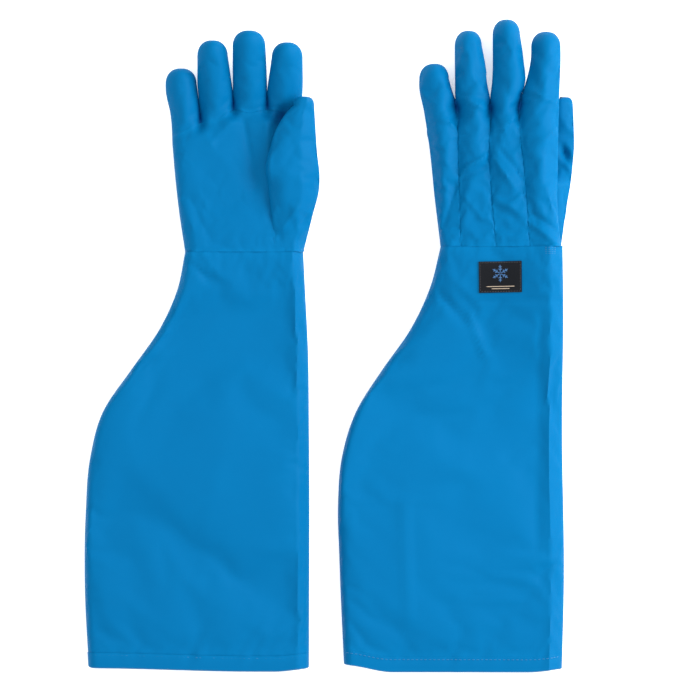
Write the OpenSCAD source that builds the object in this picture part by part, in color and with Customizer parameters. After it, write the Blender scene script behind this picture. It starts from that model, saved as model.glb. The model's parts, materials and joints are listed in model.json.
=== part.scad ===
// A pair of long cryogenic gloves lying side by side: the right glove palm up, the left glove palm down.
// Glove coordinates: x across from the thumb-side edge, y from the wrist seam towards the fingertips,
// n from the middle of the thickness towards the palm. pose() turns them into the model's frame.

/* [Sleeve] */
// Length from the hem to the wrist seam
sleeve_len = 424; // [400:1:440]
// Flat width at the hem
hem_w = 218; // [212:1:226]
// Flat width at the elbow, its widest place
elbow_w = 222; // [216:1:232]
// Flat width at the wrist seam
wrist_w = 119; // [116:1:124]
// Length over which the sleeve widens from the wrist
flare_len = 216; // [190:1:240]
// Thickness of the sleeve as it lies
sleeve_t = 24; // [22:1:28]
// Length of the turned hem
hem_len = 14; // [10:1:20]

/* [Hand] */
// Thickness of the padded hand
hand_t = 30; // [29:0.5:32]
// Flat width across the knuckles
knuckle_w = 131; // [130:1:134]

/* [Fingers] */
// Thickness of a finger
finger_t = 26; // [24:0.5:27]
// Length of each finger past its knuckle: little, ring, middle, index
finger_len = [53, 77, 85, 75]; // [50:1:90]
// Thickness of the thumb
thumb_t = 18; // [16:0.5:19]
// Length of the thumb past its joint
thumb_len = 73; // [68:1:76]

/* [Layers] */
// Outer shell cloth
shell_t = 1.2; // [0.8:0.1:1.4]
// Thermal insulation
insulation_t = 3; // [2:0.1:3.4]
// Inner lining
lining_t = 0.8; // [0.6:0.1:1]

/* [Label] */
// Width of the woven label
label_w = 42; // [30:1:50]
// Height of the woven label
label_h = 31; // [20:1:31]

/* [Lay] */
// How far the left hand is rolled up onto its own thumb
hand_roll = 12; // [11.5:0.5:14]
// How far the right sleeve is rucked up
rucked = 7; // [0:1:12]

/* [Hidden] */
GLOVES = ["right", "left"];
FINGERS = ["little", "ring", "middle", "index"];
THUMB_PARTS = ["thumb_shell", "thumb_insulation", "thumb_lining"];
HAND_PARTS = ["wrist_band", "palm_panel", "thumb_gusset", "hand_insulation", "hand_lining"];
SLEEVE_PARTS = ["sleeve_front_panel", "sleeve_back_panel", "sleeve_insulation", "sleeve_lining", "sleeve_hem"];

shell_blue = [0.02, 0.42, 0.78];
felt_white = [0.9, 0.9, 0.86];
lining_grey = [0.62, 0.66, 0.7];
label_black = [0.05, 0.05, 0.06];

// Where each glove lies: its thumb-side edge, its wrist seam, and how much its sleeve is rucked up.
edge_at = [-25.2, 231.8];
seam_at = [93.9, 98.9];
rucked_by = [rucked, 0];

// Layers, as insets from the outer surface, with a hair of air between them.
ply_gap = 0.15;
shell_in = [0, shell_t];
insulation_in = [shell_t + ply_gap, shell_t + ply_gap + insulation_t];
lining_in = [insulation_in[1] + ply_gap, insulation_in[1] + ply_gap + lining_t];
wall_in = [0, lining_in[1]];
panel_gap = 0.15; // half of the gap between two panels that are sewn together

// Joints. Each turns with this much air round it.
joint_gap = 0.6;
wrist_joint_y = -8;
wrist_bend = [60, 45]; // how far it turns towards the palm and towards the back
finger_bend = 89.9; // the furthest that a finger turns out of the palm's plane
thumb_bend = 50;
thumb_joint_y = 78;
thumb_n = hand_t / 2 + joint_gap + thumb_t / 2;
knuckle_x = [-120.5, -89.5, -55.5, -21];
knuckle_y = [131, 139, 142, 141];
finger_lean = [8, 2.5, 1, -3];
finger_half_w = [14.2, 15.5, 15.8, 15.4];
finger_pitch = [[10, 20, 22, 22], [3, 5, 8, 12]];
knuckle_split = [-105.9, -72.6, -38]; // between two fingers, at the knuckles
wrist_split = [-101.5, -67.5, -34.5]; // the same seams at the wrist

sleeve_y = [for (f = [0, 0.12, 0.3, 0.48, 0.55, 0.63, 0.71, 0.79, 0.87, 0.94]) -sleeve_len * (1 - f)];
arc_steps = 3; // steps in a quarter circle

function ease(f) = (1 - cos(180 * min(max(f, 0), 1))) / 2;
function mix(a, b, f) = a + (b - a) * f;

// Outline of the glove at y, and half of its thickness there.
function edge_x(y) = y < 0 ? -4.5 * y / sleeve_len : -4 * ease(y / 60);
function width(y) = y < 0
    ? wrist_w + (elbow_w - wrist_w) * ease(-y / flare_len) - (elbow_w - hem_w) * ease((-y - 290) / 110)
    : mix(wrist_w, knuckle_w, y / 135);
function half_t(y) = y < 0
    ? mix(hand_t, sleeve_t, ease(-y / 80)) / 2
    : mix(hand_t, finger_t + 2, ease(y / 130)) / 2;

// The left hand is rolled about its little-finger side, and its sleeve twists up to meet it.
function roll(y) = hand_roll * ease((y + 170) / 150);
function roll_x(y) = min(-136, edge_x(y) - width(y));
function pose(g, p) =
    let (y = p[1], b = half_t(min(y, 135)), a = g * roll(y), x = p[0] - roll_x(y), z = g ? b - p[2] : b + p[2])
    [
        edge_at[g] + roll_x(y) + x * cos(a) - (z - b) * sin(a),
        seam_at[g] + y * (y < 0 ? 1 - rucked_by[g] / sleeve_len : 1),
        x * sin(a) + z * cos(a)
    ];
function posed(g, grid) = [for (row = grid) [for (p = row) pose(g, p)]];

// A closed solid between two grids of points, open or wrapped round, and closed at its end by two tips.
module wall(outer, inner, flip, wrap = true, tips = []) {
    n = len(outer[0]);
    r = len(outer);
    last = wrap ? n - 1 : n - 2;
    deep = r * n;
    function at(j, i) = j * n + i % n;
    faces = concat(
        [for (j = [0:r - 2], i = [0:last]) each [
            [at(j, i), at(j + 1, i), at(j + 1, i + 1)],
            [at(j, i), at(j + 1, i + 1), at(j, i + 1)],
            [deep + at(j, i), deep + at(j + 1, i + 1), deep + at(j + 1, i)],
            [deep + at(j, i), deep + at(j, i + 1), deep + at(j + 1, i + 1)]
        ]],
        [for (i = [0:last]) each [
            [at(0, i), at(0, i + 1), deep + at(0, i + 1)],
            [at(0, i), deep + at(0, i + 1), deep + at(0, i)]
        ]],
        len(tips) > 0
            ? [for (i = [0:last]) each [
                [at(r - 1, i + 1), at(r - 1, i), 2 * deep],
                [deep + at(r - 1, i), deep + at(r - 1, i + 1), 2 * deep + 1]
            ]]
            : [for (i = [0:last]) each [
                [at(r - 1, i + 1), at(r - 1, i), deep + at(r - 1, i)],
                [at(r - 1, i + 1), deep + at(r - 1, i), deep + at(r - 1, i + 1)]
            ]],
        wrap ? [] : [for (j = [0:r - 2]) each [
            [at(j + 1, 0), at(j, 0), deep + at(j, 0)],
            [at(j + 1, 0), deep + at(j, 0), deep + at(j + 1, 0)],
            [at(j, n - 1), at(j + 1, n - 1), deep + at(j + 1, n - 1)],
            [at(j, n - 1), deep + at(j + 1, n - 1), deep + at(j, n - 1)]
        ]]
    );
    polyhedron(
        points = concat([for (row = outer) each row], [for (row = inner) each row], tips),
        faces = flip ? [for (f = faces) [f[0], f[2], f[1]]] : faces,
        convexity = 8
    );
}

function arc(cx, cn, r, from, to) =
    [for (k = [0:arc_steps]) let (a = mix(from, to, k / arc_steps)) [cx + r * cos(a), cn + r * sin(a)]];

// A flattened tube's section from x0 to x1, b above and below cn, taken in by inset. It starts at its left side.
function section(x0, x1, b, inset, cn = 0) = concat(
    arc(x0 + b, cn, b - inset, 180, 90),
    arc(x1 - b, cn, b - inset, 90, 0),
    [for (k = [1:arc_steps]) arc(x1 - b, cn, b - inset, 0, -90)[k]],
    [for (k = [0:arc_steps - 1]) arc(x0 + b, cn, b - inset, -90, -180)[k]]
);

// How far short of a joint a wall has to stop at height n, so that what turns round the joint clears it: a piece of
// half thickness b that turns by up to bend degrees towards that wall.
function stop_short(b, n, bend = 0) =
    let (r = b + joint_gap)
    bend > 0 && n > r * cos(bend)
        ? r * sin(bend) - (n - r * cos(bend)) / tan(bend) + 0.4
        : sqrt(max(0, r * r - n * n)) + 0.4;

// ---- Sleeve ----

function sleeve_row(y, inset) = let (b = half_t(y), x1 = edge_x(y), x0 = x1 - width(y))
    [for (q = section(x0, x1, b, inset)) [q[0], y, q[1]]];
function sleeve_end(inset, deepest) =
    let (y = wrist_joint_y, b = half_t(y), x1 = edge_x(y), x0 = x1 - width(y),
         rim = section(x0, x1, b, inset), low = section(x0, x1, b, deepest))
    [for (k = [0:len(rim) - 1])
        let (n = low[k][1], end = y - stop_short(b, abs(n), wrist_bend[n > 0 ? 0 : 1]))
        [rim[k][0], end, rim[k][1] * half_t(end) / b]];
function sleeve_grid(inset, deepest) = concat(
    [for (y = sleeve_y) sleeve_row(y == -sleeve_len ? y + hem_len + ply_gap : y, inset)],
    [sleeve_end(inset, deepest)]
);
// Half of a grid of wrapped rows: side 1 is the palm half, side -1 the back half.
function half_rows(grid, side, seam) = [for (row = grid) let (n = len(row), h = n / 2)
    [for (k = [0:h]) let (p = row[(side > 0 ? k : k + h) % n])
        (k == 0 || k == h) ? [p[0], p[1], side * seam] : p]];

module layer(g, grid_out, grid_in, wrap = true) {
    wall(posed(g, grid_out), posed(g, grid_in), g == 1, wrap);
}

module sleeve_panel(g, side) {
    color(shell_blue)
        layer(g, half_rows(sleeve_grid(0, shell_t), side, panel_gap),
            half_rows(sleeve_grid(shell_t, shell_t), side, panel_gap), false);
}

module sleeve_layer(g, inset) {
    layer(g, sleeve_grid(inset[0], inset[1]), sleeve_grid(inset[1], inset[1]));
}

module sleeve_hem(g) {
    rows = [-sleeve_len, -sleeve_len + hem_len / 2, -sleeve_len + hem_len];
    color(shell_blue)
        layer(g, [for (y = rows) sleeve_row(y, wall_in[0])], [for (y = rows) sleeve_row(y, wall_in[1])]);
}

module label(g) {
    rows = [for (k = [0:4]) wrist_joint_y - 8.8 - label_h * (1 - k / 4)];
    columns = [for (k = [0:2]) -62.5 + label_w * (0.5 - k / 2)];
    function face(h) = [for (y = rows) [for (x = columns) [x, y, -half_t(y) - h]]];
    color(label_black) layer(g, face(0.7), face(0.1), false);
}

// ---- Hand ----

module wrist_band(g) {
    rows = [wrist_joint_y, 0];
    color(shell_blue)
        layer(g, [for (y = rows) sleeve_row(y, wall_in[0])], [for (y = rows) sleeve_row(y, wall_in[1])]);
}

// The thumb is sewn to the palm along this line, and its gusset fills the hole to the right of it.
// thumb_out is how far each thumb sticks out past the edge of its hand.
function thumb_seam_x(y) = mix(-29, -38, y / 85);
thumb_out = [16, 10.5];
function thumb_right_x(g, y) = y < 70 ? mix(1, thumb_out[g], y / 70) : mix(thumb_out[g], 11, (y - 70) / 60);
gusset_y = [5, 25, 50];

function finger_of(x) = x < knuckle_split[0] ? 0 : x < knuckle_split[1] ? 1 : x < knuckle_split[2] ? 2 : 3;
function knuckle_line(x) = let (f = finger_of(x)) knuckle_y[f] + (x - knuckle_x[f]) * tan(finger_lean[f]);

// Right end and right corner radius of the palm half: it stops at the thumb's seam, and past that reaches the edge.
function palm_right(y) = y < 72 ? thumb_seam_x(y) - 0.4 : mix(thumb_seam_x(72) - 0.4, edge_x(y), ease((y - 72) / 14));
function palm_corner(y, b) = mix(lining_in[1] + 0.4, b, ease((y - 72) / 14));

// Places across the flat of the palm, on both sides of each gap between fingers.
flat_x = [for (s = knuckle_split, d = [-0.9, 0.9]) s + d];
hand_y = [panel_gap, 30, 60, 72, 79, 86, 105];

function hand_half_row(y, side, inset) =
    let (b = half_t(y), x0 = edge_x(y) - width(y), x1 = side > 0 ? palm_right(y) : edge_x(y),
         c = side > 0 ? palm_corner(y, b) : b,
         k0 = edge_x(135) - width(135) + b, k1 = edge_x(135) - b)
    concat(
        [for (q = arc(x0 + b, 0, b - inset, 180, 90)) [q[0], y, max(q[1], panel_gap) * side]],
        [for (x = flat_x) [mix(x0 + b, x1 - c, (x - k0) / (k1 - k0)), y, (b - inset) * side]],
        [for (q = arc(x1 - c, b - c, c - inset, 90, 0)) [q[0], y, max(q[1], panel_gap) * side]]
    );
function hand_top_row(side, inset, deepest) =
    let (row = hand_half_row(135, side, inset), low = hand_half_row(135, side, deepest), b = finger_t / 2)
    [for (k = [0:len(row) - 1])
        let (stop = side > 0 ? stop_short(b, b, finger_bend) : stop_short(b, abs(low[k][2])))
        hand_half_row(knuckle_line(row[k][0]) - stop, side, inset)[k]];
function hand_half(side, inset, deepest) =
    let (rows = concat([for (y = hand_y) hand_half_row(y, side, inset)], [hand_top_row(side, inset, deepest)]))
    side > 0 ? rows : [for (row = rows) [for (k = [len(row) - 1:-1:0]) row[k]]];

module hand_half_layer(g, side, inset) {
    layer(g, hand_half(side, inset[0], inset[1]), hand_half(side, inset[1], inset[1]), false);
}

module palm_panel(g) {
    color(shell_blue) hand_half_layer(g, 1, shell_in);
}

// One of the four strips that make up the back of the hand, between two seams.
function strip_side(k, y) = mix(wrist_split[k], knuckle_split[k], y / 135);
function strip_row(f, y, inset, top = false) =
    let (b = half_t(y), x1 = edge_x(y), x0 = x1 - width(y),
         left = f == 0 ? x0 + b : strip_side(f - 1, y) + panel_gap,
         right = f == 3 ? x1 - b : strip_side(f, y) - panel_gap,
         flat = concat(
             f == 3 ? arc(x1 - b, 0, b - inset, 0, -90) : [[right, inset - b]],
             f == 0 ? arc(x0 + b, 0, b - inset, -90, -180) : [[left, inset - b]]))
    [for (q = flat) [q[0], y, min(q[1], -panel_gap)]];
function strip_top(f, inset) =
    let (row = strip_row(f, 135, inset), low = strip_row(f, 135, shell_t), b = finger_t / 2)
    [for (k = [0:len(row) - 1])
        let (x = min(max(row[k][0], knuckle_x[f] - 17), knuckle_x[f] + 17),
             end = knuckle_y[f] + (x - knuckle_x[f]) * tan(finger_lean[f]) - stop_short(b, abs(low[k][2])))
        strip_row(f, end, inset)[k]];

module back_strip(g, f) {
    function rows(inset) = concat([for (y = hand_y) strip_row(f, y, inset)], [strip_top(f, inset)]);
    color(shell_blue) layer(g, rows(0), rows(shell_t), false);
}

// The gusset is an arch over the thumb hole. Its left foot is on the palm and its right foot on the hand's side.
function gusset_row(g, y, inset, deepest = undef) =
    let (rise = mix(0.35, 1, ease(y / 55)), b = thumb_t / 2 * rise, cn = hand_t / 2 + joint_gap + b,
         x0 = thumb_seam_x(y), x1 = thumb_right_x(g, y), in = min(inset, b - 0.3),
         arch = concat([[x0 + in, half_t(y) + joint_gap]], arc(x0 + b, cn, b - in, 180, 90),
             arc(x1 - b, cn, b - in, 90, 0), [[edge_x(y) - in, panel_gap]]),
         low = deepest == undef ? arch : gusset_section(g, y, deepest))
    [for (k = [0:len(arch) - 1])
        [arch[k][0],
            deepest == undef ? y : thumb_joint_y - thumb_stop(low[k][1] - thumb_n),
            arch[k][1]]];
function thumb_stop(n) = stop_short(thumb_t / 2, min(thumb_t / 2, abs(n)), n > 0 ? thumb_bend : 0);
function gusset_section(g, y, inset) = [for (p = gusset_row(g, y, inset)) [p[0], p[2]]];
function gusset_grid(g, inset, deepest) =
    concat([for (y = gusset_y) gusset_row(g, y, inset)], [gusset_row(g, 66, inset, deepest)]);

module gusset_layer(g, inset) {
    layer(g, gusset_grid(g, inset[0], inset[1]), gusset_grid(g, inset[1], inset[1]), false);
}

module thumb_gusset(g) {
    color(shell_blue) gusset_layer(g, shell_in);
}

module hand_layer(g, inset) {
    hand_half_layer(g, 1, inset);
    hand_half_layer(g, -1, inset);
    gusset_layer(g, inset);
}

// ---- Fingers and thumb ----

// A finger's own frame: along it, across it, and towards the palm.
function along(f, g) = let (l = finger_lean[f], p = finger_pitch[g][f]) [-sin(l) * cos(p), cos(l) * cos(p), sin(p)];
function across(f) = [cos(finger_lean[f]), sin(finger_lean[f]), 0];
function palmward(f, g) = let (l = finger_lean[f], p = finger_pitch[g][f])
    [sin(l) * sin(p), -cos(l) * sin(p), cos(p)];

// The knuckle's frame is fixed, so a finger is one rigid shape that joins the rolled hand.
function finger_point(g, f, s, q) =
    let (local = s * along(f, g) + q[0] * across(f) + q[1] * palmward(f, g),
         turn = g * hand_roll, up = g ? -1 : 1,
         hub = pose(g, [knuckle_x[f], knuckle_y[f], 0]))
    hub + [
        local[0] * cos(turn) - up * local[2] * sin(turn),
        local[1],
        local[0] * sin(turn) + up * local[2] * cos(turn)
    ];
function finger_rows(g, f, inset) =
    let (long = finger_len[f], b = finger_t / 2, a = finger_half_w[f], start = long - b,
         taper = 0.94)
    [for (q = [[0, 1, 1], [start * 0.5, 1, 1], [start, taper, 1], [start + (b - inset) * sin(50), taper, cos(50)]])
        [for (p = section(-a * q[1], a * q[1], b, inset)) finger_point(g, f, q[0], p * q[2])]];
function finger_tips(g, f, inset) = [for (i = inset) finger_point(g, f, finger_len[f] - i, [0, 0])];

module finger_layer(g, f, inset) {
    wall(finger_rows(g, f, inset[0]), finger_rows(g, f, inset[1]), g == 1, true, finger_tips(g, f, inset));
}

// The thumb lies on the palm beside the index finger: wide where it joins the gusset, narrow past the index knuckle.
thumb_wide = 46; // how far it stays wide
function thumb_left_x(s) = s < thumb_wide ? mix(-37.5, -24, s / thumb_wide) : -4;
function thumb_row(g, s, inset, shrink = 1) =
    let (x0 = thumb_left_x(s), x1 = thumb_right_x(g, thumb_joint_y + s), b = min(thumb_t, x1 - x0 - 0.5) / 2,
         mid = (x0 + x1) / 2)
    [for (q = section(x0, x1, b, inset, 0))
        [mid + (q[0] - mid) * shrink, thumb_joint_y + s, thumb_n + q[1] * shrink]];
function thumb_rows(g, inset) = [
    thumb_row(g, 0, inset), thumb_row(g, thumb_wide / 2, inset), thumb_row(g, thumb_wide - 0.1 - inset, inset),
    thumb_row(g, thumb_wide + 2, inset * 0.9), thumb_row(g, thumb_len - 7, inset * 0.9),
    thumb_row(g, thumb_len - 2 - inset * 0.7, inset * 0.9, 0.6)
];
// The hand is rigid past the wrist, so the thumb is posed by the hand's frame at its joint.
function thumb_point(g, p) =
    let (hub = pose(g, [-12, thumb_joint_y, 0]), turn = g * hand_roll, up = g ? -1 : 1,
         local = [p[0] + 12, p[1] - thumb_joint_y, p[2]])
    hub + [
        local[0] * cos(turn) - up * local[2] * sin(turn),
        local[1],
        local[0] * sin(turn) + up * local[2] * cos(turn)
    ];

module thumb_layer(g, inset) {
    function rows(i) = [for (row = thumb_rows(g, i)) [for (p = row) thumb_point(g, p)]];
    tips = [for (i = inset) thumb_point(g, [4, thumb_joint_y + thumb_len - i * 0.8, thumb_n])];
    wall(rows(inset[0]), rows(inset[1]), g == 1, true, tips);
}

// ---- The nodes ----

for (g = [0, 1]) {
    name = GLOVES[g];
    sleeve_panel(g, 1);
    sleeve_panel(g, -1);
    color(felt_white) sleeve_layer(g, insulation_in);
    color(lining_grey) sleeve_layer(g, lining_in);
    sleeve_hem(g);
    wrist_band(g);
    palm_panel(g);
    thumb_gusset(g);
    color(felt_white) hand_layer(g, insulation_in);
    color(lining_grey) hand_layer(g, lining_in);
    color(shell_blue) thumb_layer(g, shell_in);
    color(felt_white) thumb_layer(g, insulation_in);
    color(lining_grey) thumb_layer(g, lining_in);
    for (f = [0:3]) {
        finger = str(name, "_", FINGERS[f]);
        back_strip(g, f);
        color(shell_blue) finger_layer(g, f, shell_in);
        color(felt_white) finger_layer(g, f, insulation_in);
        color(lining_grey) finger_layer(g, f, lining_in);
    }
}
label(1);  // left_label
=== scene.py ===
"""The looks of a pair of shoulder-length cryogenic gloves, lying side by side on a pale table.

Every surface is laid out in a glove's own flat coordinates, in millimetres: x across from the edge on the thumb's
side, y from the wrist seam towards the fingertips, and n from the middle of the thickness towards the palm.
place() turns those into the frame. Glove 0 is the right one, palm up, and glove 1 is the left one, palm down.
"""
import json
import math

import bpy
import numpy as np
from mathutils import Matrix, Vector, noise


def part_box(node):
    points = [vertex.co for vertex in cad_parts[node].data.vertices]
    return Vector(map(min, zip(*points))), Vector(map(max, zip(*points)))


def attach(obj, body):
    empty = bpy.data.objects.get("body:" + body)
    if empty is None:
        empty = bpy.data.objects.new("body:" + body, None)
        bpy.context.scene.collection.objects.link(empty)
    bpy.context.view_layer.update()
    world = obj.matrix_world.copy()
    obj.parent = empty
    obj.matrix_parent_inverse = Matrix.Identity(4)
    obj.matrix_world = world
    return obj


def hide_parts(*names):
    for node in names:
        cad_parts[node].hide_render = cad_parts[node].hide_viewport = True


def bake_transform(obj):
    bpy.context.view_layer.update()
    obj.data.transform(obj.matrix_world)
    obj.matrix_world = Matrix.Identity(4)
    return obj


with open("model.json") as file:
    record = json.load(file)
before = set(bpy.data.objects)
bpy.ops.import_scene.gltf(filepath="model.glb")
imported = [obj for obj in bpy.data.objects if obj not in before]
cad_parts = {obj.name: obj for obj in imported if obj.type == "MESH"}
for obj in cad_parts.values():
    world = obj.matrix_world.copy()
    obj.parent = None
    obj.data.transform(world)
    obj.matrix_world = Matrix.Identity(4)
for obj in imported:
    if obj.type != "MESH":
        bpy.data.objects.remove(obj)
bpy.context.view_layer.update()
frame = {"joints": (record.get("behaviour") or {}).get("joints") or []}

MM = 0.001
GLOVES = ("right", "left")
FINGERS = ("little", "ring", "middle", "index")
JOINTS = {joint["name"]: joint for joint in frame["joints"]}
TOP_OF = (1, -1)  # which way n points in each glove: the palm is up on the right one, down on the left one
EDGE = [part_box(f"{name}_sleeve_hem")[1].x / MM - 4.5 for name in GLOVES]
SEAM = [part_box(f"{name}_wrist_band")[1].y / MM for name in GLOVES]

# ---- Shape of the gloves, seen from above ----

# Thickness from the middle to the outside, in the sleeve, at the wrist and at the knuckles.
SLEEVE_B, WRIST_B, KNUCKLE_B, FINGER_B = 12.0, 15.0, 14.5, 13.0
HEM_LENGTH = 14.0
SLEEVE_T, HAND_T, LINING_T, HEM_T, LABEL_T = 1.2, 1.0, 0.8, 0.6, 1.2  # thickness of the cloth
SLEEVE_FILL, PALM_FILL, FINGER_FILL = 0.3, 0.6, 0.7  # how full of padding each is
ROLL = math.radians(12)  # how far the left hand leans on its own thumb
ROLL_X = -136.0  # the line that it is rolled about
PITCH = [[math.radians(a) for a in (10, 20, 22, 22)], [math.radians(-a) for a in (3, 5, 8, 12)]]
HUB = [
    [
        (np.array(JOINTS[f"{name}_{finger}_finger_bend"]["pos_m"]) / MM - [EDGE[g], SEAM[g], 0])[:2]
        for finger in FINGERS
    ]
    for g, name in enumerate(GLOVES)
]  # where each finger's joint is

# Each outline is a smooth curve through a few (x, y) points.
SLEEVE_LEFT = [
    [(-118.5, 0), (-126.5, -38), (-144.8, -78), (-172.8, -118), (-200, -158), (-213.5, -205), (-218, -260),
     (-218.8, -340), (-214.6, -420)],
    [(-120.4, 0), (-131, -41), (-150.8, -83), (-178.8, -123), (-204, -163), (-218.5, -208), (-222.8, -258),
     (-221.5, -310), (-216.6, -425)],
]
SLEEVE_RIGHT = [
    [(-0.6, 0), (1.4, -40), (4.2, -98), (5.2, -180), (5.2, -420)],
    [(0, 0), (1.2, -63), (1.4, -200), (3.2, -330), (1.0, -425)],
]
HAND_LEFT = [
    [(-118.5, 0), (-124.8, 42), (-130.8, 102), (-133.2, 138), (-137.6, 160), (-137.6, 176)],
    [(-120.4, 0), (-126.4, 50), (-131.6, 100), (-137, 136), (-141.6, 160), (-141.4, 172)],
]
HAND_RIGHT = [
    [(-0.6, 0), (-3, 30), (-4, 90), (-2.4, 140), (-0.8, 165), (-0.8, 190)],
    [(-1, 0), (-4.4, 30), (-4.6, 82), (-3, 150), (-1.2, 190), (-1.2, 200)],
]
# The seams on the back of the hand, from the wrist up to the crotch between two fingers.
SEAMS = [
    [[(-101, 0), (-102.6, 60), (-103, 129)], [(-66, 0), (-69, 60), (-70, 143)], [(-33, 0), (-36, 60), (-36.4, 143)]],
    [[(-100.8, 0), (-102, 56), (-103.4, 99), (-104, 135)], [(-66.3, 0), (-71.2, 65), (-72.4, 99), (-70.6, 134)],
     [(-32.8, 0), (-37.9, 73), (-42.2, 116), (-43, 136)]],
]
# Past the crotch, each finger's right side and the next finger's left side.
GAP_SIDES = [
    [[[(-104.6, 150), (-106.8, 168), (-107.6, 176)], [(-104.6, 150), (-106.0, 168), (-105.7, 180), (-105.6, 200)]],
     [[(-70.6, 160), (-72.8, 176), (-76, 200)], [(-70.6, 160), (-70.6, 180), (-70.4, 206)]],
     [[(-36.4, 160), (-36.8, 180), (-38, 210)], [(-36.4, 160), (-33.6, 180), (-30.6, 200)]]],
    [[[(-105.6, 146), (-108.8, 156), (-112.6, 170)], [(-105.6, 146), (-105.9, 160), (-106.2, 203)]],
     [[(-71.2, 147), (-74, 162), (-76.4, 185), (-80, 204)], [(-71.2, 147), (-69.5, 162), (-68.4, 214)]],
     [[(-41.2, 148), (-36.6, 163), (-38, 186), (-41.6, 214)],
      [(-41.2, 148), (-36, 163), (-30.6, 188), (-30.2, 202)]]],
]
TIP_Y = [[182.8, 209.6, 219.0, 207.6], [183, 215.8, 226.8, 214.2]]
TIP_LENGTH = 15.0  # how much of a finger's end is rounded
# The crease where a finger's palm side starts, seen from above.
CREASE = [
    [(-132, 114), (-118, 120), (-103, 128.5), (-86, 131), (-70, 141.5), (-54, 138.5), (-36.4, 142), (-18, 139),
     (-2.4, 139)],
    [(-135, 118), (-118, 121), (-104, 131), (-86, 130), (-70.6, 133), (-54, 137), (-43, 136), (-20, 137), (-3, 137)],
]
THUMB_LEFT = [(-28.8, 3), (-32.8, 41), (-36, 67), (-37.6, 84), (-33, 104), (-26.8, 122), (-15.8, 139), (-6, 149)]
THUMB_RIGHT = [
    [(0.4, 3), (9.2, 37), (15.4, 62), (16, 74), (13.6, 98), (12.2, 118), (10.4, 149)],
    [(-1, 3), (4.2, 37), (8.2, 60), (11, 80), (12.6, 98), (12.2, 124), (11.2, 146)],
]
THUMB_TIP = [154.0, 149.5]


def ease(f):
    f = np.clip(f, 0, 1)
    return f * f * (3 - 2 * f)


def mix(a, b, f):
    return a + (b - a) * f


def rounded(distance, radius):
    """A quarter circle's rise from an edge: 0 at the edge, and 1 from the radius on."""
    return np.sqrt(np.clip(1 - np.clip(1 - distance / radius, 0, 1) ** 2, 0, 1))


def spread(count, crowding):
    """Fractions from 0 to 1, closer together near both ends."""
    t = np.linspace(0, 1, count)
    return mix(t, (1 - np.cos(np.pi * t)) / 2, crowding)


def curve(points):
    """x as a smooth function of y, through (x, y) points."""
    points = sorted(points, key=lambda p: p[1])
    xs, ys = (np.array([p[k] for p in points], float) for k in (0, 1))
    slopes = np.gradient(xs, ys)

    def at(y):
        y = np.clip(np.asarray(y, float), ys[0], ys[-1])
        i = np.clip(np.searchsorted(ys, y) - 1, 0, len(ys) - 2)
        h = ys[i + 1] - ys[i]
        t = (y - ys[i]) / h
        return (
            (2 * t**3 - 3 * t**2 + 1) * xs[i]
            + (t**3 - 2 * t**2 + t) * h * slopes[i]
            + (3 * t**2 - 2 * t**3) * xs[i + 1]
            + (t**3 - t**2) * h * slopes[i + 1]
        )

    return at


def swapped(points):
    return curve([(y, x) for x, y in points])


sleeve_left, sleeve_right, hand_left, hand_right = (
    [curve(p) for p in table] for table in (SLEEVE_LEFT, SLEEVE_RIGHT, HAND_LEFT, HAND_RIGHT)
)
thumb_left = curve(THUMB_LEFT)
thumb_right = [curve(p) for p in THUMB_RIGHT]
for g, x_and_y in enumerate(CREASE):  # the crease ends on the hand's own edges
    x_and_y[0] = (float(hand_left[g](x_and_y[0][1])), x_and_y[0][1])
    x_and_y[-1] = (float(hand_right[g](x_and_y[-1][1])), x_and_y[-1][1])
crease = [swapped(p) for p in CREASE]
finger_left = [[hand_left[g]] + [curve(SEAMS[g][k] + GAP_SIDES[g][k][1]) for k in range(3)] for g in (0, 1)]
finger_right = [[curve(SEAMS[g][k] + GAP_SIDES[g][k][0]) for k in range(3)] + [hand_right[g]] for g in (0, 1)]


def roll(y):
    return ROLL * ease((np.asarray(y) + 170) / 150)


def half_thickness(y):
    return np.where(y < 0, mix(WRIST_B, SLEEVE_B, ease(-y / 90)), mix(WRIST_B, KNUCKLE_B, ease(y / 130)))


def middle(g, x, y):
    """Height of the middle of the thickness."""
    b = half_thickness(np.minimum(y, 135))
    if g == 0:
        return b
    a = roll(y)
    left = np.where(y < 0, np.minimum(ROLL_X, sleeve_left[g](np.minimum(y, 0))), ROLL_X)
    return b + (x - left) * np.tan(a)


def bent(d, width=10.0):
    """0 below 0 and d above it, with a soft bend between."""
    return np.where(d > width, d, np.where(d < -width, 0, (d + width) ** 2 / (4 * width)))


def place(g, x, y, n, finger=None):
    """Points in the frame, in metres."""
    z = middle(g, x, y) + TOP_OF[g] * n
    if finger is not None:
        z = z + math.tan(PITCH[g][finger]) * bent(y - HUB[g][finger][1])
    z = np.where(z < 1.0, 1.0 - 0.95 * (1 - np.exp(np.minimum(z - 1.0, 0))), z)
    return np.stack([EDGE[g] + x, SEAM[g] + y, z], -1) * MM


# ---- Folds and puckers ----

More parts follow.
